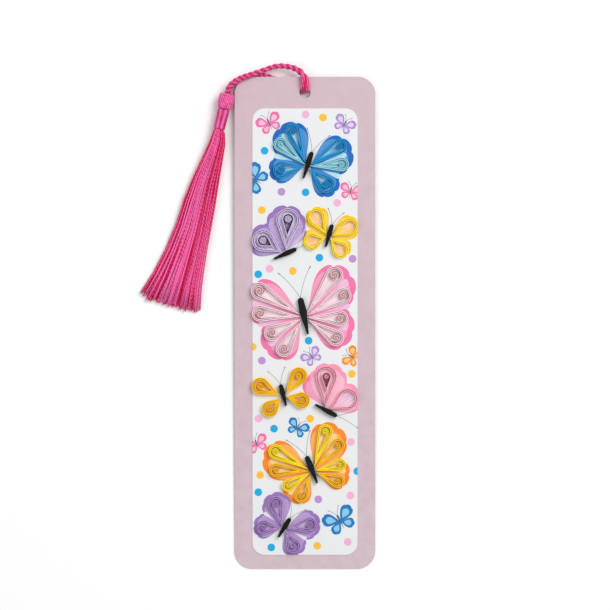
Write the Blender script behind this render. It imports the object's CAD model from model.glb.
from math import atan, cos, pi, radians, sin

import bpy
import numpy as np
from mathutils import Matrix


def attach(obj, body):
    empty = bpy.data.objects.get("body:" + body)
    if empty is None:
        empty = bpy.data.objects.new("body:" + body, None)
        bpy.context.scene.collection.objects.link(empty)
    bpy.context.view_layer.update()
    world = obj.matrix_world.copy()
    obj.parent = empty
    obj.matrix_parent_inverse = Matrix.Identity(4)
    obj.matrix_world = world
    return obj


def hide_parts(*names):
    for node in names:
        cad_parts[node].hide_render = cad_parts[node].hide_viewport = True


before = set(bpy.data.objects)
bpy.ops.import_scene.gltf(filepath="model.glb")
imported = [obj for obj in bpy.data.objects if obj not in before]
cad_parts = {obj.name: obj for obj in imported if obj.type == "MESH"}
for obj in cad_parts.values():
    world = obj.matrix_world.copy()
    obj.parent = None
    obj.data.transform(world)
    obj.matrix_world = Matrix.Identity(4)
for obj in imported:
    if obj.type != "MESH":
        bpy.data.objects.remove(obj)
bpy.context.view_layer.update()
scene = bpy.context.scene

# Camera: it looks straight down on the bookmark from one metre up, with a long lens.
# The picture's middle lies 6.5 mm above the card's middle, towards the tassel.
camera = bpy.data.objects.new("camera", bpy.data.cameras.new("camera"))
camera.data.lens = 163
camera.data.sensor_width = 36
camera.location = (0, 0.0065, 1.0)
scene.collection.objects.link(camera)
scene.camera = camera
scene.view_settings.view_transform = "Standard"

# Floor and light: a pale tabletop, one large soft light from the upper right and even light all round.
# What the camera sees past the table is plain white.
floor_side = 3.0
floor = bpy.data.objects.new("tabletop", bpy.data.meshes.new("tabletop"))
half_floor = floor_side / 2
floor_corners = [(-half_floor, -half_floor, 0), (half_floor, -half_floor, 0), (half_floor, half_floor, 0),
                 (-half_floor, half_floor, 0)]
floor.data.from_pydata(floor_corners, [], [(0, 1, 2, 3)])
scene.collection.objects.link(floor)
floor_finish = bpy.data.materials.new("white tabletop")
floor_finish.use_nodes = True
floor_finish.node_tree.nodes["Principled BSDF"].inputs["Base Color"].default_value = (0.96, 0.96, 0.96, 1)
floor_finish.node_tree.nodes["Principled BSDF"].inputs["Roughness"].default_value = 0.9
floor.data.materials.append(floor_finish)
for name, stand, size, power in (
    ("window", (0.55, 0.45, 0.9), 0.7, 9.5),
    ("fill", (-0.7, -0.3, 0.9), 0.9, 2.9),
):
    light = bpy.data.objects.new(name, bpy.data.lights.new(name, "AREA"))
    light.data.size = size
    light.data.energy = power
    light.location = stand
    light.rotation_mode = "QUATERNION"
    light.rotation_quaternion = light.location.to_track_quat("Z", "Y")
    scene.collection.objects.link(light)
world = bpy.data.worlds.new("studio")
scene.world = world
world.use_nodes = True
world_nodes = world.node_tree.nodes
even = world_nodes["Background"]
even.inputs["Color"].default_value = (1, 1, 1, 1)
even.inputs["Strength"].default_value = 0.455
seen = world_nodes.new("ShaderNodeBackground")
rays = world_nodes.new("ShaderNodeLightPath")
either = world_nodes.new("ShaderNodeMixShader")
world.node_tree.links.new(rays.outputs["Is Camera Ray"], either.inputs[0])
world.node_tree.links.new(even.outputs[0], either.inputs[1])
world.node_tree.links.new(seen.outputs[0], either.inputs[2])
world.node_tree.links.new(either.outputs[0], world_nodes["World Output"].inputs["Surface"])
seen.inputs["Color"].default_value = (1, 1, 1, 1)

# Twisted cord: one loop of pink rayon cord through the hole, both its ends in the tassel's head.
# Two plies, each of six yarns, are laid round each other, and the loop lies limp on the card's edge.
# The card leans on the strand that runs under it.
mm = 0.001
cord_diameter = 2.2 * mm
head_middle = np.array((-28.6, 80.0, 2.98)) * mm
head_lean = radians(13.4)
head_length = 6.2 * mm
head_axis = np.array((sin(head_lean), cos(head_lean), 0))
head_top = head_middle + head_axis * head_length / 2
strand_side = np.array((0, 0, 1.115)) * mm
first_run = head_axis * 2 * mm
route = [
    head_top + strand_side,
    head_top + strand_side + first_run,
    (-0.0257, 0.0869, 0.0042),
    (-0.0226, 0.0885, 0.0041),
    (-0.0186, 0.0898, 0.00395),
    (-0.0146, 0.0913, 0.0036),
    (-0.0104, 0.0928, 0.0031),
    (-0.0062, 0.0927, 0.0031),
    (-0.0024, 0.0914, 0.0037),
    (-0.0004, 0.0892, 0.00395),
    (0.0001, 0.0868, 0.00395),
    (0.0, 0.08404, 0.00395),
    (0.0, 0.08404, 0.0011),
    (-0.0036, 0.0856, 0.0011),
    (-0.0086, 0.0873, 0.0011),
    (-0.0138, 0.0894, 0.0011),
    (-0.0188, 0.09, 0.0011),
    (-0.023, 0.0885, 0.0011),
    (-0.026, 0.0869, 0.00135),
    head_top - strand_side + first_run,
    head_top - strand_side,
]
light_level = 1.06


def linear(red, green, blue):
    """A colour given as it looks in this light, from 0 to 255, as the linear colour that a shader takes."""
    share = np.array((red, green, blue)) / 255
    low = share / 12.92
    high = ((share + 0.055) / 1.055) ** 2.4
    return (*np.where(share < 0.04045, low, high) / light_level, 1)


class Socket:
    """A shader socket as a number: each operator on it adds the Math node that works it out."""

    def __init__(self, finish, link):
        self.finish = finish
        self.link = link

    def maths(self, operation, first, second):
        return self.finish.node("ShaderNodeMath", {"operation": operation}, {0: first, 1: second})

    def __add__(self, other):
        return self.maths("ADD", self, other)

    def __sub__(self, other):
        return self.maths("SUBTRACT", self, other)

    def __rsub__(self, other):
        return self.maths("SUBTRACT", other, self)

    def __mul__(self, other):
        return self.maths("MULTIPLY", self, other)

    def __mod__(self, other):
        return self.maths("MODULO", self, other)

    def __gt__(self, other):
        return self.maths("GREATER_THAN", self, other)

    __radd__ = __add__
    __rmul__ = __mul__

    def wave(self, crests):
        """A wave from 0 to 1, with so many crests for each unit of this number."""
        angle = self * (2 * pi * crests)
        return 0.5 + 0.5 * self.finish.node("ShaderNodeMath", {"operation": "SINE"}, {0: angle})

    def limited(self):
        return self.finish.node("ShaderNodeClamp", {}, {"Value": self})


class Finish:
    """One finish of the bookmark: a material, and the nodes that vary it over the surface."""

    def __init__(self, name, constants):
        self.material = bpy.data.materials.new(name)
        self.material.use_nodes = True
        self.tree = self.material.node_tree
        self.surface = self.tree.nodes["Principled BSDF"]
        for socket, value in constants.items():
            self.surface.inputs[socket].default_value = value

    def node(self, kind, settings, sockets, out=0):
        """Adds a node: its settings are set first, then its sockets get their values or links."""
        made = self.tree.nodes.new(kind)
        for name, value in settings.items():
            setattr(made, name, value)
        for name, value in sockets.items():
            self.feed(made.inputs[name], value)
        return Socket(self, made.outputs[out])

    def feed(self, socket, value):
        if isinstance(value, Socket):
            self.tree.links.new(value.link, socket)
        else:
            socket.default_value = value

    def blend(self, share, first, second):
        """The colour that goes from the first to the second as share goes from 0 to 1."""
        return self.node("ShaderNodeMix", {"data_type": "RGBA"}, {0: share, 6: first, 7: second}, out=2)

    def where(self, kind="Object"):
        return self.node("ShaderNodeTexCoord", {}, {}, out=kind)

    def grain(self, where, scale, detail=2.0, stretch=(1, 1, 1)):
        """Cloudy noise from 0 to 1, at a scale in grains to the unit, stretched along the axes."""
        mapped = self.node("ShaderNodeMapping", {}, {"Vector": where, "Scale": stretch})
        return self.node("ShaderNodeTexNoise", {}, {"Vector": mapped, "Scale": scale, "Detail": detail})

    def along_and_round(self):
        """The piece's own UV map as two numbers: the share along it and the share of the way round."""
        split = self.where("UV")
        along = self.node("ShaderNodeSeparateXYZ", {}, {0: split}, out=0)
        return along, Socket(self, along.link.node.outputs[1])

    def colour(self, colour):
        self.feed(self.surface.inputs["Base Color"], colour)

    def roughness(self, value):
        self.feed(self.surface.inputs["Roughness"], value)

    def bump(self, height, depth):
        """Raises the surface by the height, a number from 0 to 1, times the depth in metres."""
        sockets = {"Height": height, "Distance": depth, "Strength": 1.0}
        self.feed(self.surface.inputs["Normal"], self.node("ShaderNodeBump", {}, sockets))


def skin(name, tubes, along, joined=False):
    """A mesh of closed tubes, whose points are given as an array of tube, ring, corner and place.

    A quad joins each corner to the next one round the ring and to the same two on the next ring.
    A single face closes each end, or the last ring joins the first. The UV map holds the share
    along the tube, which is given for each ring, and the tube's number plus the share round it.
    """
    count, rings, corners, _ = tubes.shape
    spans = rings if joined else rings - 1
    ring, corner = (index.ravel() for index in np.mgrid[0:spans, 0:corners])
    next_ring, next_corner = (ring + 1) % rings, (corner + 1) % corners
    quads = np.stack([ring * corners + corner, ring * corners + next_corner,
                      next_ring * corners + next_corner, next_ring * corners + corner], axis=-1)
    starts = np.arange(count)[:, None, None] * rings * corners
    faces = (starts + quads).reshape(-1, 4).tolist()
    along = np.broadcast_to(along, (count, rings))
    round_way = np.stack([corner, corner + 1, corner + 1, corner], axis=-1) / corners
    tube_number = np.arange(count)[:, None, None]
    far = np.where(ring + 1 < rings, next_ring, rings - 1)
    length_way = along[:, np.stack([ring, ring, far, far], axis=-1)]
    uv = [np.stack([length_way, round_way + tube_number], axis=-1).reshape(-1, 2)]
    if not joined:
        turn = np.arange(corners)
        for first, order in ((0, turn[::-1]), ((rings - 1) * corners, turn)):
            faces += (starts[:, 0] + first + order).tolist()
            ends = np.broadcast_to(along[:, 0 if first == 0 else -1, None], (count, corners))
            uv.append(np.stack([ends, order / corners + tube_number[:, 0]], axis=-1).reshape(-1, 2))
    mesh = bpy.data.meshes.new(name)
    mesh.from_pydata(tubes.reshape(-1, 3), [], faces)
    mesh.uv_layers.new(name="along").data.foreach_set("uv", np.concatenate(uv).ravel())
    return mesh


def fix(name, mesh, finish, slot, *nodes, smooth=True):
    """Puts a mesh on the bookmark as a piece with its finish, in the place of its CAD nodes."""
    piece = bpy.data.objects.new(name, mesh)
    scene.collection.objects.link(piece)
    if smooth:
        mesh.shade_smooth()
    mesh.materials.append(finish.material)
    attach(piece, "root")
    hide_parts(*nodes)
    return piece


def rayon(name, twists, strands, streaks, dark, light, yarn_depth, uneven=0.0, crease=0.0, satin=0.0):
    """Silky rayon: light yarns with darker grooves between them, in a helix round the piece.

    The yarns lie in a wave of the share along and the share round, and the streaks are noise with
    so many grains along and round. Uneven is how far a tube's shade leaves the others', by chance
    and by its crown, an attribute that grows with its height in the bundle. Crease is how much
    darker a ply is where it faces the other, and satin how much lighter the two bands are that
    catch the light along a wound piece's top. The gloss takes the dye's light tone.
    """
    finish = Finish(name, {"Specular IOR Level": 0.8, "Specular Tint": linear(*light)})
    along, round_way = finish.along_and_round()
    tube = finish.node("ShaderNodeMath", {"operation": "FLOOR"}, {0: round_way})
    own = finish.node("ShaderNodeTexWhiteNoise", {"noise_dimensions": "1D"}, {"W": tube})
    crown = finish.node("ShaderNodeAttribute", {"attribute_name": "crown"}, {}, out="Fac")
    yarn = (along * twists + round_way * strands + uneven * own).wave(1)
    outward = (round_way + 0.25).wave(1)
    streak = finish.grain(finish.where("UV"), 1, 3, stretch=(*streaks, 1))
    shade = 0.6 * yarn + 1.5 * streak - 0.55 - crease * (1 - outward)
    shade = shade + uneven * (1.4 * own + 1.8 * crown - 2.0)
    shade = shade + satin * (round_way.wave(7) * round_way.wave(1) - 0.45)
    finish.colour(finish.blend(shade.limited(), linear(*dark), linear(*light)))
    finish.roughness(0.4 - 0.14 * yarn)
    finish.bump(yarn, yarn_depth)
    return finish


line = bpy.data.curves.new("cord_line", "CURVE")
line.dimensions = "3D"
line.resolution_u = 24
spline = line.splines.new("NURBS")
spline.points.add(len(route) - 1)
spline.points.foreach_set("co", np.column_stack([route, np.ones(len(route))]).ravel())
spline.order_u = 3
spline.use_endpoint_u = True
line_object = bpy.data.objects.new("cord_line", line)
line_mesh = bpy.data.meshes.new_from_object(line_object)
read = np.empty(3 * len(line_mesh.vertices))
line_mesh.vertices.foreach_get("co", read)
read = read.reshape(-1, 3)
bpy.data.objects.remove(line_object)
walked = np.append(0, np.cumsum(np.linalg.norm(np.diff(read, axis=0), axis=1)))
cord_rings = 380
distance = np.linspace(0, walked[-1], cord_rings)
centre = np.stack([np.interp(distance, walked, axis) for axis in read.T], axis=-1)
forward = np.gradient(centre, axis=0)
forward /= np.linalg.norm(forward, axis=1, keepdims=True)
# The cord's upper side is kept towards one steady direction, so that it doesn't flip at the bends.
steady = np.array((0, -0.5, 0.866))
up = steady - (forward @ steady)[:, None] * forward
up /= np.linalg.norm(up, axis=1, keepdims=True)
side = np.cross(forward, up)

ply_pitch = 4.4 * mm
ply_corners = 36
ply_yarns = 6
yarn_groove = 0.05
yarn_lay = 2.4
level_at = 0.5
share = distance / distance[-1]
# Each row is read at the shares of the cord's length in the first: how much wider and higher than
# a round cord the plies lie, and how tightly they are twisted. They lie level at half its length.
spread_at = (0, 0.05, 0.12, 0.22, 0.38, 0.44, 0.47, 0.51, 0.53, 0.55, 0.58, 0.64, 1)
wide = np.interp(share, spread_at, (1.05, 1.1, 1.15, 0.9, 1.05, 1.2, 1.45, 1.5, 1.45, 1.4, 1.2, 1.0, 1.0))
high = np.interp(share, spread_at, (1.0, 1.0, 1.0, 0.95, 1.05, 1.05, 1.25, 1.1, 0.75, 0.75, 0.95, 1.0, 1.0))
twist = np.interp(share, spread_at, (1.2, 1.2, 1.1, 0.9, 1.0, 0.8, 0.2, 0.12, 0.12, 0.15, 0.4, 1.0, 1.0))
ply_radius = 0.74 * mm
ply_offset = 0.32 * mm
turned = 2 * pi * np.append(0, np.cumsum(twist[1:] * np.diff(distance))) / ply_pitch
turned = (turned - np.interp(level_at, share, turned) + pi / 2)[:, None]
around = np.linspace(0, 2 * pi, ply_corners, endpoint=False)


def ply(start):
    """One ply: a rod of yarns carried round the cord's line in a helix, from its starting angle.

    The rod's middle circles the line at the ply's offset, and a cosine swells it at each yarn. Where
    the cord runs over the card to the hole, the plies lie side by side and spread.
    """
    lay = turned + start
    rod = ply_radius * (1 + yarn_groove * np.cos(ply_yarns * around + yarn_lay * turned))
    sideways = wide[:, None] * (ply_offset * np.sin(lay) + rod * np.sin(lay + around))
    upwards = high[:, None] * (ply_offset * np.cos(lay) + rod * np.cos(lay + around))
    return centre[:, None] + sideways[..., None] * side[:, None] + upwards[..., None] * up[:, None]


cord_mesh = skin("cord_plies", np.array([ply(0), ply(pi)]), share)
cord_finish = rayon("twisted pink rayon", 30, 8, (70, 7), (200, 0, 60), (255, 138, 212), 0.05 * mm,
                    crease=0.9)
cord = fix("cord_plies", cord_mesh, cord_finish, "cord_rayon", "cord")

# Tassel head: folded rayon yarns drawn over a knot into a small bulb, with the cord's ends in its top.
# The yarns lie side by side and slant round it.
head_radius = 2.83 * mm
head_across = np.array((head_axis[1], -head_axis[0], 0))
head_over = np.array((0, 0, 1))
head_yarns = 18
slant_turns = 5
yarn_height = 0.3 * mm
top_narrowing = 0.55 * mm
foot_narrowing = 0.85 * mm
pole_gap = 0.03
head_rings = 90
head_corners = 340


def about_axis(middle, way, radius, angle):
    """Rings about the head's axis, at the ways down it, with a radius for each ring and angle."""
    across = np.cos(angle)[:, None] * head_across + np.sin(angle)[:, None] * head_over
    return middle - way[:, None, None] * head_axis + radius[..., None] * across


def yarn_bulb(fall, angle):
    """The way down the head and its radius there, for each fall from its top and angle round it.

    The way is a low power of the fall's cosine and the radius a low power of its sine, less the
    square of the way from the middle, which makes a barrel. The size of a cosine stands for each
    slanting yarn, and two slow waves round the head leave it a little lumpy.
    """
    way = -head_length / 2 * np.sign(np.cos(fall)) * np.abs(np.cos(fall)) ** 0.75
    middle_way = 2 * way / head_length
    narrowing = np.where(way < 0, top_narrowing, foot_narrowing) * middle_way**2
    barrel = (head_radius - narrowing) * np.clip(1.5 * np.sin(fall), 0, 1) ** 0.5
    slant = pi / 2 * slant_turns * (1 + middle_way)[:, None] + head_yarns / 2 * angle - pi / 4
    lumps = 1 + 0.015 * np.sin(3 * angle + 2.79 * middle_way[:, None]) + 0.012 * np.sin(5 * angle)
    fade = np.clip(np.sin(fall) * 1.6, 0, 1)[:, None]
    return way, barrel[:, None] * lumps + yarn_height * fade * (np.abs(np.cos(slant)) - 0.75)


head_angle = np.linspace(0, 2 * pi, head_corners, endpoint=False)
head_way, radius = yarn_bulb(np.linspace(pole_gap, pi - pole_gap, head_rings), head_angle)
head_tube = about_axis(head_middle, head_way, radius, head_angle)
head_mesh = skin("head_yarns", head_tube[None], 0.5 + head_way / head_length)
head_finish = rayon("slanted pink rayon", slant_turns, head_yarns, (12, 12), (216, 0, 62), (255, 140, 214),
                    0.05 * mm)
head = fix("head_yarns", head_mesh, head_finish, "tassel_rayon", "tassel_head")

# Neck binding: one rayon thread wound tightly round the yarns under the head, in nineteen turns.
# It is a ring of threads, open for the yarns that run through it, and two satin bands catch the light.
neck_radius = 2.1 * mm
neck_bore = 1.63 * mm
neck_length = 7.0 * mm
neck_turns = 19
neck_fullness = 1.06
neck_waist = 0.06
neck_groove = 0.1 * mm
neck_corners = 60
rings_a_turn = 12
bore_rings = 4
neck_top = head_middle - head_axis * head_length / 2


def wound_thread(wound, angle):
    """The binding's outer radius, for each way down the neck and angle round it.

    The size of a sine, which moves on by one crest for each turn round, stands for the thread. The
    neck draws in with the square of the way down it.
    """
    winding = pi * (wound[:, None] * neck_turns / neck_length + angle / (2 * pi))
    drawn_in = neck_waist * np.clip(wound / neck_length * 1.15, 0, 1)[:, None] ** 2
    return neck_radius * (neck_fullness - drawn_in) - neck_groove * (1 - np.abs(np.sin(winding)))


wound = np.linspace(0, neck_length, rings_a_turn * neck_turns + 1)
neck_angle = np.linspace(0, 2 * pi, neck_corners, endpoint=False)
neck_way = np.concatenate([wound, np.linspace(neck_length, 0, bore_rings)])
bore = np.full((bore_rings, neck_corners), neck_bore)
radius = np.concatenate([wound_thread(wound, neck_angle), bore])
neck_tube = about_axis(neck_top, neck_way, radius, neck_angle)
neck_mesh = skin("neck_thread", neck_tube[None], neck_way / neck_length, joined=True)
neck_finish = rayon("wound pink rayon", neck_turns, 1, (1.6, 11), (184, 0, 58), (255, 124, 200), 0.05 * mm,
                    satin=0.95)
neck = fix("neck_thread", neck_mesh, neck_finish, "tassel_rayon", "neck_binding")

# Tassel skirt: a bundle of loose rayon threads that runs through the binding and fans out flat.
# The threads gather in locks, with dark gaps between them, and their cut ends are a little ragged.
# The lists give the bundle's half width, bow, half height and height at shares of its length.
skirt_length = 65.0 * mm
skirt_lean = radians(16.2)
skirt_axis = np.array((-sin(skirt_lean), -cos(skirt_lean), 0))
skirt_across = np.array((-skirt_axis[1], skirt_axis[0], 0))
skirt_top = neck_top - head_axis * neck_length
threads = 190
thread_radius = 0.23 * mm
thread_corners = 5
lock_count = 12
lock_inset = 0.96
lock_width = 1.1
lock_strays = 0.22
lock_pull = 0.5
lock_rise = 0.55
lock_step = 2.4
parting_pace = 5.5
closed_ridge = 0.55
ragged_end = 0.009
middle_reach = 0.013
thread_sway = 0.22 * mm
seed_angle = pi * (3 - 5**0.5)
station = (-0.1, 0, 0.02, 0.08, 0.29, 0.41, 0.52, 0.70, 0.87, 1.02)
half_width_at = np.array((1.55, 1.6, 2.25, 3.0, 4.8, 5.8, 6.15, 7.4, 9.35, 11.9)) * mm
bow_at = np.array((0, 0, 0.35, 0.8, 0.45, 0.5, 1.0, 1.0, 0.65, 0.3)) * mm
half_height_at = np.array((1.55, 1.6, 1.9, 1.95, 2.0, 1.85, 1.7, 1.5, 1.3, 1.1)) * mm
middle_height_at = np.array((2.98, 2.98, 2.9, 2.7, 2.03, 1.88, 1.73, 1.53, 1.33, 1.13)) * mm
skirt_share = np.array((-0.1, -0.05, 0, 0.02, 0.08, 0.18, 0.3, 0.43, 0.57, 0.72, 0.87, 1))
draw = np.random.default_rng(12)


def loose_threads(share):
    """The line and the radius of each thread, at the shares of the way from the binding to its end.

    The threads are packed in the neck as seeds are in a sunflower, and each keeps its place across
    and up as the skirt fans out, bows a little and gets flatter. Each is pulled to the middle of its
    lock, lies lower the further it is from there, and sways in a slow sine. Another slow sine parts
    the locks and lets them run together again down the skirt. The threads in the middle reach a
    little further than those at the sides. The last array is each thread's crown, from 0 at the
    foot of a lock to 1 on its ridge, and a little more towards its end.
    """
    index = np.arange(threads)[:, None]
    packed = np.sqrt((index + 0.5) / threads)
    across = packed * np.cos(seed_angle * index)
    height = packed * np.sin(seed_angle * index)
    ragged = 1 + np.clip(draw.normal(0, ragged_end, index.shape), -0.02, 0.02)
    ragged = ragged + middle_reach * (1 - across**2)
    down = np.where(share > 0, share * ragged, share)
    lock = np.round((across * 0.5 + 0.5) * lock_count + draw.normal(0, lock_strays, index.shape))
    lock_middle = (lock / lock_count * 2 - 1) * lock_inset
    parted = 0.5 + 0.5 * np.sin(lock * lock_step + parting_pace * down)
    ridge = 1 - np.clip(np.abs(across - lock_middle) * lock_count / lock_width, 0, 1)
    ridge = ridge + (closed_ridge - ridge) * 0.8 * (1 - parted)
    gather = lock_pull * np.clip(down * 1.4, 0, 1) * (0.35 + 0.75 * parted)
    settled = across * (1 - gather) + lock_middle * gather
    settled /= np.abs(settled).max(axis=0)
    crests = down * draw.uniform(0.8, 1.8, index.shape) + draw.uniform(0, 1, index.shape)
    sway = thread_sway * np.sin(2 * pi * crests) * np.clip(down * 6, 0, 1) * (1 - 0.6 * np.abs(across))
    thick = thread_radius * np.interp(down, (-0.1, 0, 0.15, 1), (0.6, 0.7, 0.95, 1.1))
    sideways = settled * (np.interp(down, station, half_width_at) - thick) + sway
    sideways = sideways + np.interp(down, station, bow_at)
    way = np.where(down[..., None] > 0, skirt_axis, head_axis) * np.abs(down)[..., None] * skirt_length
    line = skirt_top + way + sideways[..., None] * skirt_across
    room = np.interp(down, station, half_height_at) - thick
    lowered = np.where(height > 0, lock_rise * np.clip(down * 5, 0, 1) * (1 - ridge), 0)
    line[..., 2] = np.interp(down, station, middle_height_at) + height * room * (1 - lowered)
    crown = 0.65 * ridge + 0.35 * np.clip(height + 0.3, 0, 1) + 0.2 * np.clip(down, 0, 1)
    return line, thick, crown.ravel()


thread_line, thick, crown = loose_threads(skirt_share)
corner_angle = np.linspace(0, 2 * pi, thread_corners, endpoint=False)[:, None]
section = np.cos(corner_angle) * head_over + np.sin(corner_angle) * np.cross(skirt_axis, head_over)
thread_tubes = thread_line[:, :, None] + thick[..., None, None] * section
skirt_mesh = skin("skirt_threads", thread_tubes, skirt_share)
crowns = np.repeat(crown, thread_corners)
skirt_mesh.attributes.new("crown", "FLOAT", "POINT").data.foreach_set("value", crowns)
thread_finish = rayon("loose pink rayon", 46, 1, (60, 2.3), (216, 0, 62), (255, 124, 195), 0.03 * mm,
                      uneven=1.1)
fix("skirt_threads", skirt_mesh, thread_finish, "tassel_rayon", "tassel_skirt")

# Card: stiff pink card with a pearly coat, its corners rounded and its hole punched.
# Its coat is faintly clouded, and it warms a little from the tassel's end to the other.
card_coat = {"Coat Weight": 0.12, "Coat Roughness": 0.3, "Specular IOR Level": 0.4}
card_finish = Finish("pearl pink card", card_coat)
on_card = card_finish.where()
along_card = card_finish.node("ShaderNodeSeparateXYZ", {}, {0: on_card}, out=1)
cloud = card_finish.grain(on_card, 260, 3)
fleck = card_finish.grain(on_card, 1500, 2)
end_share = (0.5 - along_card * 5.6).limited()
pearl = card_finish.blend(end_share, linear(213, 190, 198), linear(222, 205, 214))
clear = (0.9 * cloud + 0.35 * fleck - 0.35).limited()
card_finish.colour(card_finish.blend(clear, linear(204, 178, 188), pearl))
card_finish.roughness(0.36 + 0.14 * fleck)
card_finish.bump(fleck, 0.01 * mm)
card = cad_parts["card"]
card.data.materials.clear()
card.data.materials.append(card_finish.material)

# Art panel: white matt art paper, glued on the card's front.
# It has the fine tooth of a print paper.
paper_finish = Finish("white art paper", {"Specular IOR Level": 0.3})
tooth = paper_finish.grain(paper_finish.where(), 2400, 2)
shade = paper_finish.grain(paper_finish.where(), 60, 2)
mottled = 0.6 * tooth + 0.4 * shade
paper_finish.colour(paper_finish.blend(mottled, linear(228, 229, 232), linear(236, 238, 239)))
paper_finish.roughness(0.7 + 0.15 * tooth)
paper_finish.bump(tooth, 0.008 * mm)
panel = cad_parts["art_panel"]
panel.data.materials.clear()
panel.data.materials.append(paper_finish.material)

# The panel's face leans with the card, whose top end rests on the strand of cord under it.
card_length = 177.8 * mm
card_thickness = 0.5 * mm
hole_from_top = 5.75 * mm
panel_thickness = 0.25 * mm
panel_length = 161.4 * mm
panel_middle = -3.2 * mm
panel_half_width = 19.0 * mm
cord_clearance = 0.03 * mm
card_tilt = atan((cord_diameter + cord_clearance) / (card_length - hole_from_top))
face_normal = np.array((0, -sin(card_tilt), cos(card_tilt)))
face_upward = np.array((0, cos(card_tilt), sin(card_tilt)))
back_middle = np.array((0, card_thickness * sin(card_tilt) / 2, card_length / 2 * sin(card_tilt)))
panel_face = back_middle + (card_thickness + panel_thickness) * face_normal


def on_panel(flat, height):
    """The place above the panel of points given as complex numbers, across plus i times along."""
    across = np.array((1.0, 0, 0))
    return (panel_face + flat.real[..., None] * across + flat.imag[..., None] * face_upward
            + np.broadcast_to(height, flat.shape)[..., None] * face_normal)


def place(across, along, turn):
    """A place on the panel as shares of half its length from its middle, and the way it is turned."""
    return panel_length / 2 * (across + 1j * along) + 1j * panel_middle, np.exp(1j * radians(turn))


# Print on the panel: flat fields of ink, each a thin layer, under and round the quilled wings.
# Most butterflies have wing fields, some with pale cells, and all have brushed ink inside their
# drops and fine feelers. What reaches past the panel's edge is cut off there.
ink_corners = 72
ink_layer = 0.012 * mm
ink_finish = Finish("printing ink", {"Specular IOR Level": 0.3})
ink = ink_finish.node("ShaderNodeAttribute", {"attribute_name": "ink"}, {}, out="Color")
spread = ink_finish.node("ShaderNodeAttribute", {"attribute_name": "spread"}, {}, out="Vector")
wash = ink_finish.node("ShaderNodeAttribute", {"attribute_name": "wash"}, {}, out="Fac")
streak = ink_finish.grain(spread, 1.0, 3, stretch=(2.2, 26, 1))
tooth = ink_finish.grain(ink_finish.where(), 2400, 2)
washed = ink_finish.blend((wash * (2.2 * streak - 0.8)).limited(), ink, linear(255, 250, 252))
deep = ink_finish.node("ShaderNodeMix", {"data_type": "RGBA", "blend_type": "MULTIPLY"},
                       {0: 1.0, 6: washed, 7: (0.72, 0.72, 0.74, 1)}, out=2)
ink_finish.colour(ink_finish.blend((0.2 * tooth + 0.6 * wash * (1 - streak)).limited(), washed, deep))
ink_finish.roughness(0.55 + 0.2 * tooth)
ink_finish.bump(tooth, 0.006 * mm)


def even_outline(outline):
    """A closed outline walked anticlockwise from its first point, with its corners evenly spaced."""
    closed = np.append(outline, outline[0])
    if np.sum(closed[:-1].conj() * closed[1:]).imag < 0:
        closed = closed[::-1]
    walked = np.append(0, np.cumsum(np.abs(np.diff(closed))))
    return np.interp(np.linspace(0, walked[-1], ink_corners, endpoint=False), walked, closed)


def printed(name, shapes):
    """Prints shapes, each an outline about its own foot, the foot, the aim, a colour and a layer.

    Each shape is a prism of ink whose top lies a layer higher than the one it overprints. The ink
    from the third layer up is brushed on in pale streaks.
    """
    outlines, feet, aims, colours, layers = zip(*shapes)
    local = np.array([even_outline(outline) for outline in outlines])
    flat = np.array(feet)[:, None] + np.array(aims)[:, None] * local
    half_length = panel_length / 2
    along = flat.imag.clip(panel_middle - half_length, panel_middle + half_length)
    flat = flat.real.clip(-panel_half_width, panel_half_width) + 1j * along
    top = ink_layer * (1 + np.array(layers, dtype=float))[:, None]
    rings = np.stack([on_panel(flat, -ink_layer / 2), on_panel(flat, top)], axis=1)
    mesh = skin(name, rings, np.array([[0, 1]]))
    corners = 2 * ink_corners
    tints = np.repeat([linear(*colour) for colour in colours], corners, axis=0)
    mesh.attributes.new("ink", "FLOAT_COLOR", "POINT").data.foreach_set("color", tints.ravel())
    washes = np.repeat(np.interp(layers, (0, 2, 3, 4), (0.03, 0.03, 0.6, 1.0)), corners)
    mesh.attributes.new("wash", "FLOAT", "POINT").data.foreach_set("value", washes)
    size = np.abs(local).max(axis=1)[:, None]
    own = np.repeat((local / size)[:, None, :], 2, axis=1).ravel()
    seat = np.repeat(np.arange(len(shapes)), corners)
    vectors = np.stack([own.real, own.imag, 7.0 * seat], axis=1)
    mesh.attributes.new("spread", "FLOAT_VECTOR", "POINT").data.foreach_set("vector", vectors.ravel())
    return fix(name, mesh, ink_finish, "art_paper", smooth=False)


def ring_of(radius):
    return radius * np.exp(1j * np.linspace(0, 2 * pi, ink_corners, endpoint=False))


def drop_field(length, width):
    """The outline of a rolled drop: straight from its pinch at 0 to a round full end, and back."""
    middle = length - width / 2
    lean = pi - np.arccos(width / 2 / middle)
    return np.append(0, middle + width / 2 * np.exp(1j * np.linspace(-lean, lean, 40)))


def wing_field(low, high, far, skew=1.0, scallops=4):
    """A fan from the wing's foot between two angles, whose rim is a low power of a sine, scalloped."""
    share = np.linspace(0, 1, 160)[:-1]
    scallop = 1 - 0.05 * (1 - np.abs(np.sin(scallops * pi * share))) ** 2
    rim = far * np.sin(pi * share**skew) ** 0.24 * scallop
    return rim * np.exp(1j * np.radians(low + (high - low) * share))


def feeler(length, bend, width=0.1 * mm):
    """A fine curved line that swells to its tip: its middle runs along 0 and bends with the square."""
    share = np.linspace(0, 1, 30)
    middle = length * (share + 1j * bend * share**2)
    half = 1j * width * np.where(share > 0.93, 1.9, 0.75)
    return np.concatenate([middle - half, (middle + half)[::-1]])


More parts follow.
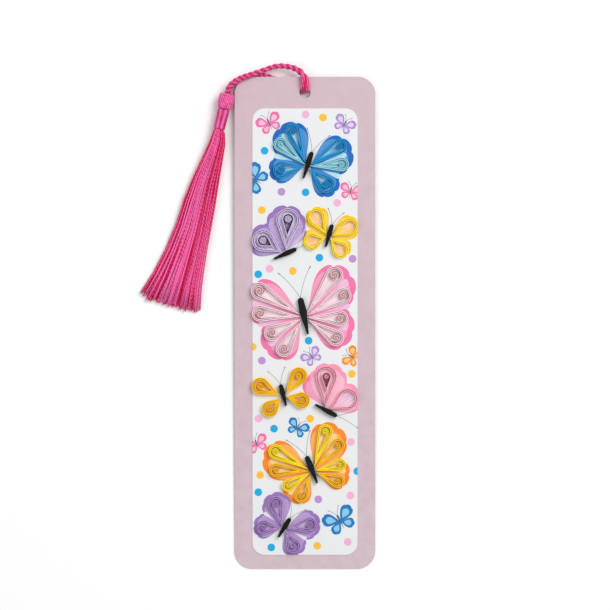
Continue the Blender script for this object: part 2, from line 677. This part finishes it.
# Quilled wings: strips of coloured paper on edge, rolled round a tool, pinched to a drop and glued down.
# Between two smooth turns runs a crimped one, and the strip's inner end is rolled up to an eye.
# Each drop stands on the panel in the place, and with the outline, height and turns, of its CAD node.
strip_height = 1.5 * mm
strip_thickness = 0.27 * mm
strip_gap = 0.12 * mm
crimp_thickness = 0.14 * mm
eye_thickness = 0.19 * mm
turn_spacing = 0.0034 * panel_length
eye_spacing = 0.0028 * panel_length
eye_tightness = 0.6
eye_core = 0.12 * mm
crimp_length = 0.78 * mm
crimp_depth = 0.05 * mm
point_spacing = 0.12 * mm
turns_in_map = 16
eye_in_map = 8
edge_waves = 4.3 * mm


def drop_line(length, width, turns, eye_turns):
    """The line of one strip, flat on the panel with its pinch at 0, and how many turns it has made.

    Each turn is a straight run from the pinch, an arc round the full end and a straight run back.
    The eye is a spiral about the full end's middle, whose radius shrinks evenly with its angle.
    """
    lines = max(2 * turns - 1, 2 if eye_turns else 3)
    step = turn_spacing / 2
    outer = (width - strip_thickness) / 2
    middle = length - width / 2
    pinch_step = (strip_thickness + strip_gap) * middle / outer * step / turn_spacing
    pieces = []
    for line_number in range(lines):
        pinch, next_pinch = line_number * pinch_step, (line_number + 1) * pinch_step
        round_end = outer - line_number * step
        near, far = (pi - np.arccos(round_end / (middle - p)) for p in (pinch, next_pinch))
        arc = middle + round_end * np.exp(1j * np.arange(-near, far, point_spacing / round_end))
        run = int(abs(arc[0] - pinch) / point_spacing)
        there = pinch + (arc[0] - pinch) * np.linspace(0, 1, run, endpoint=False)
        back = arc[-1] + (next_pinch - arc[-1]) * np.linspace(0, 1, run)[1:-1]
        turn = np.concatenate([there, arc, back])
        if line_number % 2:
            walked = np.append(0, np.cumsum(np.abs(np.diff(turn))))
            heading = np.gradient(turn)
            fade = np.sin(pi * walked / walked[-1]).clip(0) ** 0.3
            swing = crimp_depth * fade * np.sin(2 * pi * walked / crimp_length)
            turn = turn + 1j * heading / np.abs(heading) * swing
        pieces.append((turn, line_number + np.linspace(0, 0.999, turn.size)))
    if eye_turns:
        roll = outer - turns * turn_spacing - strip_gap
        pitch = eye_spacing * eye_tightness
        pinch = pinch_step * lines
        start = pi - np.arccos(roll / (middle - pinch))
        whole = 2 * pi * (roll - eye_core) / pitch
        angle = np.arange(0, whole, 2 * point_spacing / roll)
        spiral = middle + (roll - pitch * angle / (2 * pi)) * np.exp(1j * (angle - start))
        run = int(abs(spiral[0] - pinch) / point_spacing)
        into = pinch + (spiral[0] - pinch) * np.linspace(0, 1, run, endpoint=False)
        pieces.append((into, np.full(run, lines - 0.5)))
        pieces.append((spiral, np.minimum(eye_in_map + angle / (2 * pi), turns_in_map - 0.1)))
    return tuple(np.concatenate(part) for part in zip(*pieces))


def strip_paper(name, edge, crimp, eye):
    """Quilling paper: smooth turns, crimped turns and the eye have their own colours, with its fibres."""
    finish = Finish(name, {"Specular IOR Level": 0.25, "Sheen Weight": 0.1})
    along, round_way = finish.along_and_round()
    turn = along * turns_in_map
    fibre = finish.grain(finish.where(), 1800, 2)
    rolled = turn > eye_in_map - 0.25
    crimped = ((turn % 2) > 1) * (1 - rolled)
    tone = finish.blend(crimped, linear(*edge), linear(*crimp))
    tone = finish.blend(rolled, tone, finish.blend((turn * 1.7).wave(1), linear(*eye), linear(*edge)))
    finish.colour(finish.blend((0.8 * fibre - 0.3).limited(), tone, linear(*crimp)))
    finish.roughness(0.62 + 0.2 * fibre)
    finish.bump(fibre, 0.01 * mm)
    return finish


strip_finishes = {
    "pink_strip": strip_paper("pink quilling paper", (255, 238, 242), (190, 70, 104), (208, 112, 126)),
    "rose_strip": strip_paper("salmon quilling paper", (253, 180, 196), (170, 36, 66), (232, 124, 154)),
    "yellow_strip": strip_paper("yellow quilling paper", (255, 246, 24), (246, 166, 0), (255, 204, 8)),
    "orange_strip": strip_paper("orange quilling paper", (255, 212, 12), (238, 122, 0), (255, 150, 4)),
    "blue_strip": strip_paper("blue quilling paper", (0, 164, 228), (0, 70, 146), (0, 112, 192)),
    "aqua_strip": strip_paper("aqua quilling paper", (164, 230, 238), (40, 128, 160), (110, 198, 212)),
    "violet_strip": strip_paper("violet quilling paper", (190, 150, 214), (84, 48, 118), (148, 108, 184)),
    "lilac_strip": strip_paper("lilac quilling paper", (228, 212, 242), (70, 42, 100), (190, 178, 204)),
}


def quilled_drop(node, foot, aim, length, width, turns, eye_turns, mirrored, slot):
    """One drop of paper strip: a thin upright ribbon carried along its line, its top in a faint wave."""
    flat, turn = drop_line(length, width, turns, eye_turns)
    flat = foot + aim * (flat.conj() if mirrored else flat)
    heading = np.gradient(flat)
    thickness = np.where(turn % 2 >= 1, crimp_thickness, strip_thickness)
    thickness = np.where(turn < eye_in_map, thickness, eye_thickness)
    half_strip = 0.5j * thickness * heading / np.abs(heading)
    top = strip_height * (1 + 0.02 * np.sin(2 * pi * np.arange(flat.size) * point_spacing / edge_waves))
    corners = [on_panel(flat + half_strip, top), on_panel(flat - half_strip, top),
               on_panel(flat - half_strip, 0), on_panel(flat + half_strip, 0)]
    mesh = skin(node + "_strip", np.stack(corners, axis=1)[None], turn[None] / turns_in_map)
    return fix(node + "_strip", mesh, strip_finishes[slot], slot, node, smooth=False)


# Butterfly bodies: black paper folded tight to a lens, with a rounded head and a thin tail.
# The folds show as fine grooves along the crowned top.
body_height = 1.9 * mm
head_share = 0.4
fullest_share = 0.12
tail_radius = 0.35 * mm
body_rings = 60
body_corners = 47
fold_spacing = 0.3 * mm
fold_depth = 0.08 * mm
crown_fall = 0.45 * mm
body_finish = Finish("folded black paper", {"Specular IOR Level": 0.2})
fibre = body_finish.grain(body_finish.where(), 1500, 2)
body_finish.colour(body_finish.blend(fibre, linear(3, 3, 4), linear(20, 19, 22)))
body_finish.roughness(0.5 + 0.2 * fibre)
body_finish.bump(fibre, 0.015 * mm)


def butterfly_body(name, where, aim, length, width):
    """A body whose outline is the hull of three circles: head, full middle and tail.

    At each place along it, the half width is the widest of the circles that blend one into the next.
    The top falls with the fifth power of the way from its middle line, with a groove at each fold.
    """
    blend = np.linspace(0, 2, 81)
    ends = (length / 2 - head_share * width, fullest_share * length, tail_radius - length / 2)
    centre = np.interp(blend, (0, 1, 2), ends)
    circle = np.interp(blend, (0, 1, 2), (head_share * width, width / 2, tail_radius))
    way = -0.499 * length * np.cos(np.linspace(0, pi, body_rings))
    half = np.sqrt(np.maximum(circle**2 - (way[:, None] - centre) ** 2, 0)).max(axis=1)[:, None]
    across = np.linspace(-1, 1, body_corners)
    fold = np.abs(np.sin(pi * half * np.abs(across) / fold_spacing))
    rise = body_height - crown_fall * np.abs(across) ** 5 - fold_depth * (1 - fold) ** 2
    flat = where + aim * (half * across + 1j * way[:, None])
    foot = on_panel(flat[:, [-1, 0]], 0)
    ring = np.concatenate([on_panel(flat, rise), foot], axis=1)
    mesh = skin(name + "_folds", ring[None], np.linspace(0, 1, way.size)[None])
    return fix(name + "_folds", mesh, body_finish, "black_strip", name)


# Eight butterflies: each has its body, its drops on both sides or, seen from the side, on one, and
# its print. Their lengths are shares of the butterfly's reach, itself a share of the panel's length.
body_to_wing = 0.25 * mm
brow = 0.48
feeler_reach = 0.62
feeler_grey = (122, 126, 134)
pale_size = 0.88
pale_share = 0.3


def ray(angle, hand=1):
    """The way a wing points: its angle from the body's right, or the mirrored way on the left."""
    return hand * np.exp(1j * radians(hand * angle))


def wing_fields(foot, aim, hand, reach, fields, inks):
    """Fans of ink from the body outwards, one for each wing, with a paler fan inside each rim."""
    shapes = []
    for layer, (low, high, far, skew, tint) in enumerate(fields):
        fan = wing_field(low, high, far * reach, skew)
        fan = fan if hand > 0 else fan.conj()
        paler = tuple(part + pale_share * (255 - part) for part in inks[tint])
        shapes.append((fan, foot, aim * hand, inks[tint], layer))
        shapes.append((pale_size * fan, foot, aim * hand, paler, layer + 0.5))
    return shapes


def feelers(head, aim, reach, angles):
    """Two fine grey lines from the head, which bend apart."""
    return [
        (feeler(feeler_reach * reach, bend), head, aim * ray(angle), feeler_grey, 1)
        for angle, bend in angles
    ]


def open_butterfly(name, spot, reach, body_size, wings, eye_turns, fields, cells, inks):
    """A butterfly with its wings spread: each drop and its print are repeated on both sides of the body.

    A wing's numbers are its drop's foot along the body, angle, length, width, turns and strip. A
    field's are its two angles, reach, skew and ink, and a cell's its angle, inset, length and width.
    """
    where, aim = spot
    body_length, body_width = (reach * size for size in body_size)
    butterfly_body(name + "_body", where, aim, body_length, body_width)
    shapes = feelers(where + aim * (brow * 1j) * body_length, aim, reach, ((72, -0.2), (108, 0.2)))
    for side, hand in (("left", -1), ("right", 1)):
        shapes += wing_fields(where + aim * hand * body_width / 2, aim, hand, reach, fields, inks)
        for angle, inset, length, width in cells:
            way = aim * ray(angle, hand)
            cell_foot = where + aim * hand * body_width / 2 + way * reach * inset
            shapes.append((drop_field(length * reach, width * reach), cell_foot, way, inks["pale"], 3))
        for wing, (foot, angle, length, width, turns, slot) in wings.items():
            foot_at = where + aim * (hand * (body_width / 2 + body_to_wing) + 1j * reach * foot)
            way = aim * ray(angle, hand)
            size = (reach * length, reach * width)
            shapes.append((drop_field(*size), foot_at, way, inks["inside"], 4))
            quilled_drop(f"{name}_{side}_{wing}", foot_at, way, *size, turns, eye_turns, hand < 0, slot)
    printed(name + "_print", shapes)


def side_butterfly(name, spot, reach, body_size, wings, slot, fields, inks):
    """A butterfly seen from the side: its body lies along X and its wings stand on one side of it.

    A wing's numbers are its drop's foot along the body, angle, inset, length, width, turns and
    turns of the eye.
    """
    where, aim = spot
    body_length, body_width = (reach * size for size in body_size)
    butterfly_body(name + "_body", where, aim * -1j, body_length, body_width)
    shapes = feelers(where + aim * brow * body_length, aim, reach, ((6, -0.15), (36, 0.2)))
    shapes += wing_fields(where + aim * 0.5j * body_width, aim, 1, reach, fields, inks)
    for wing, (foot, angle, inset, length, width, turns, eye_turns) in wings.items():
        way = aim * ray(angle)
        foot_at = where + aim * (reach * foot + 1j * (body_width / 2 + body_to_wing)) + way * reach * inset
        size = (reach * length, reach * width)
        shapes.append((drop_field(*size), foot_at, way, inks["inside"], 4 if turns else 5))
        quilled_drop(f"{name}_{wing}", foot_at, way, *size, turns, eye_turns, False, slot)
    printed(name + "_print", shapes)


open_butterfly(
    "rose",
    place(-0.004, 0.071, 12),
    0.121 * panel_length,
    body_size=(0.69, 0.138),
    wings={
        "fore_top": (0.067, 42, 1.0, 0.318, 2, "pink_strip"),
        "fore_low": (0.015, 16, 0.882, 0.297, 2, "pink_strip"),
        "hind_top": (-0.041, -14, 0.728, 0.287, 2, "pink_strip"),
        "hind_low": (-0.092, -46, 0.738, 0.297, 2, "pink_strip"),
    },
    eye_turns=2,
    fields=((-76, 10, 0.92, 0.8, "rim"), (-8, 70, 1.12, 1.25, "rim")),
    cells=((29, 0.3, 0.68, 0.14), (1, 0.26, 0.54, 0.1), (-30, 0.26, 0.52, 0.14)),
    inks={"rim": (240, 120, 170), "pale": (238, 186, 220), "inside": (250, 222, 230)},
)
open_butterfly(
    "marigold",
    place(0.031, -0.617, 22),
    0.096 * panel_length,
    body_size=(0.677, 0.148),
    wings={
        "fore_top": (0.071, 50, 1.0, 0.335, 2, "yellow_strip"),
        "fore_low": (0.013, 23, 0.903, 0.31, 2, "orange_strip"),
        "hind_top": (-0.045, -9, 0.71, 0.284, 2, "yellow_strip"),
        "hind_low": (-0.103, -45, 0.677, 0.31, 2, "orange_strip"),
    },
    eye_turns=1,
    fields=((-76, 12, 0.84, 0.8, "rim"), (-4, 80, 1.14, 1.25, "rim")),
    cells=((36.5, 0.32, 0.62, 0.12), (-27, 0.26, 0.46, 0.12)),
    inks={"rim": (250, 138, 28), "pale": (255, 216, 140), "inside": (252, 186, 56)},
)
open_butterfly(
    "sky",
    place(0.012, 0.746, -18),
    0.09 * panel_length,
    body_size=(0.69, 0.138),
    wings={
        "fore_top": (0.062, 50, 1.0, 0.359, 2, "blue_strip"),
        "fore_low": (0.007, 21, 0.938, 0.345, 2, "aqua_strip"),
        "hind": (-0.069, -26, 0.759, 0.4, 2, "blue_strip"),
    },
    eye_turns=1,
    fields=((-66, 10, 0.92, 0.9, "rim"), (-8, 82, 1.14, 1.25, "rim")),
    cells=((35.5, 0.32, 0.62, 0.13), (-2, 0.3, 0.5, 0.13)),
    inks={"rim": (0, 104, 188), "pale": (186, 228, 244), "inside": (96, 192, 222)},
)
open_butterfly(
    "violet",
    place(-0.093, -0.877, -32),
    0.066 * panel_length,
    body_size=(0.755, 0.179),
    wings={
        "fore": (0.057, 40, 1.0, 0.509, 2, "violet_strip"),
        "hind": (-0.075, -30, 0.792, 0.472, 2, "violet_strip"),
    },
    eye_turns=1,
    fields=((-74, 12, 0.98, 0.9, "rim"), (-4, 84, 1.18, 1.2, "rim")),
    cells=((5, 0.3, 0.46, 0.13),),
    inks={"rim": (154, 118, 188), "pale": (236, 224, 246), "inside": (204, 184, 224)},
)
open_butterfly(
    "amber",
    place(-0.097, -0.283, 15),
    0.066 * panel_length,
    body_size=(0.755, 0.179),
    wings={
        "fore": (0.057, 38, 1.0, 0.585, 3, "orange_strip"),
        "hind": (-0.075, -30, 0.792, 0.547, 3, "orange_strip"),
    },
    eye_turns=1,
    fields=(),
    cells=(),
    inks={"inside": (253, 196, 50)},
)
open_butterfly(
    "lemon",
    place(0.107, 0.43, -16),
    0.062 * panel_length,
    body_size=(0.85, 0.18),
    wings={
        "fore": (0.06, 42, 1.0, 0.62, 2, "yellow_strip"),
        "hind": (-0.08, -34, 0.8, 0.58, 2, "yellow_strip"),
    },
    eye_turns=0,
    fields=((-74, 8, 0.9, 1, "rim"), (2, 84, 1.1, 1.1, "rim")),
    cells=(),
    inks={"rim": (253, 192, 20), "inside": (254, 190, 84)},
)
side_butterfly(
    "lilac",
    place(-0.089, 0.349, 24),
    0.093 * panel_length,
    body_size=(0.6, 0.127),
    wings={
        "fore_loop": (0.06, 62, 0, 1.0, 0.56, 1, 0),
        "fore_coil": (0.06, 62, 0.307, 0.573, 0.28, 1, 2),
        "hind_loop": (-0.073, 123, 0, 0.773, 0.52, 1, 0),
        "hind_coil": (-0.073, 123, 0.24, 0.413, 0.28, 1, 2),
    },
    slot="lilac_strip",
    fields=((6, 66, 0.84, 1, "behind"), (80, 172, 0.92, 1, "rim"), (20, 104, 1.12, 1, "rim")),
    inks={"rim": (152, 116, 186), "behind": (188, 162, 214), "inside": (200, 180, 222)},
)
side_butterfly(
    "blush",
    place(0.094, -0.351, -28),
    0.09 * panel_length,
    body_size=(0.616, 0.13),
    wings={
        "fore_loop": (-0.062, 116, 0, 1.0, 0.52, 2, 0),
        "fore_coil": (-0.062, 116, 0.37, 0.479, 0.233, 1, 1),
        "hind_loop": (0.075, 58, 0, 0.753, 0.507, 2, 0),
    },
    slot="rose_strip",
    fields=((124, 178, 0.94, 1, "behind"), (10, 100, 0.9, 1, "rim"), (74, 158, 1.12, 1, "rim")),
    inks={"rim": (246, 158, 188), "behind": (232, 120, 176), "inside": (240, 192, 222)},
)

# Dots and small butterflies, all print: the dots are 2.8 mm across, the butterflies 8 to 13 mm.
# Each small one is two pairs of fans with a paler fan inside, a thin grey body and feelers.
dot_radius = 1.4 * mm
cyan, rosy, sunny, lilac = (0, 170, 225), (245, 180, 215), (253, 195, 55), (190, 145, 210)
dots = (
    (6.5, 74.2, sunny), (0.2, 75.3, rosy), (-14.6, 62.2, cyan), (-8.5, 47.4, lilac),
    (0.2, 47.2, cyan), (11.6, 43.4, rosy), (-15.6, 40.8, sunny), (17.2, 23.2, lilac),
    (5.2, 23.6, cyan), (-12.8, 19.6, rosy), (-16.9, 17.6, cyan), (-4.4, 18.8, sunny),
    (-18.9, -8.6, sunny), (1.3, -6.4, cyan), (-15.6, -13.6, lilac), (16.9, -18.4, sunny),
    (-16.8, -34.6, rosy), (-11.2, -38.2, cyan), (1.8, -34.6, sunny), (16.6, -43.0, rosy),
    (-16.2, -55.0, sunny), (18.9, -53.6, cyan), (-16.9, -61.2, cyan), (4.8, -63.8, lilac),
    (16.4, -62.4, rosy), (4.4, -80.6, sunny), (15.5, -79.2, rosy), (-12.2, -81.2, cyan),
)
printed("dots_print", [(ring_of(dot_radius), (x + 1j * y) * mm, 1, tint, 0) for x, y, tint in dots])

small_inks = {
    "pink": ((240, 112, 168), (250, 190, 218)),
    "blue": ((0, 118, 190), (136, 204, 234)),
    "lilac": ((176, 142, 210), (226, 208, 240)),
    "orange": ((250, 140, 34), (255, 206, 124)),
}
small_butterflies = (
    (-12.8, 71.8, 24, 5.2, "pink"), (14.0, 71.4, -30, 4.6, "lilac"), (-17.9, 51.6, 60, 6.6, "blue"),
    (16.4, 47.2, -12, 4.6, "pink"), (2.6, -12.4, 34, 4.4, "lilac"), (17.3, -12.4, 60, 4.4, "orange"),
    (-2.8, -38.2, -26, 4.6, "blue"), (-17.4, -44.0, 20, 4.8, "pink"), (12.8, -71.8, 28, 6.8, "blue"),
)
body_grey = (90, 92, 102)


def small_butterfly(where, aim, reach, tints):
    """The shapes of one small butterfly: on each side two fans and the paler ones in them."""
    shapes = feelers(where + aim * 0.34j * reach, aim, 0.9 * reach, ((70, -0.25), (110, 0.25)))
    for hand in (-1, 1):
        for low, high, far in ((-70, 0, 0.76), (0, 66, 1.0)):
            for size, colour, layer in zip((1, 0.56), tints, (0, 1)):
                inset = aim * ray((low + high) / 2, hand) * reach * far * (1 - size) * 0.5
                fan = wing_field(low, high, far * size * reach, 1, 3)
                shapes.append((fan if hand > 0 else fan.conj(), where + inset, aim * hand, colour, layer))
    body = drop_field(0.84 * reach, 0.12 * reach)
    shapes.append((body, where - aim * 0.46j * reach, aim * 1j, body_grey, 2))
    return shapes


small_shapes = []
for x, y, turn, reach, tint in small_butterflies:
    aim = np.exp(1j * radians(turn))
    small_shapes += small_butterfly((x + 1j * y) * mm, aim, reach * mm, small_inks[tint])
printed("small_butterflies_print", small_shapes)
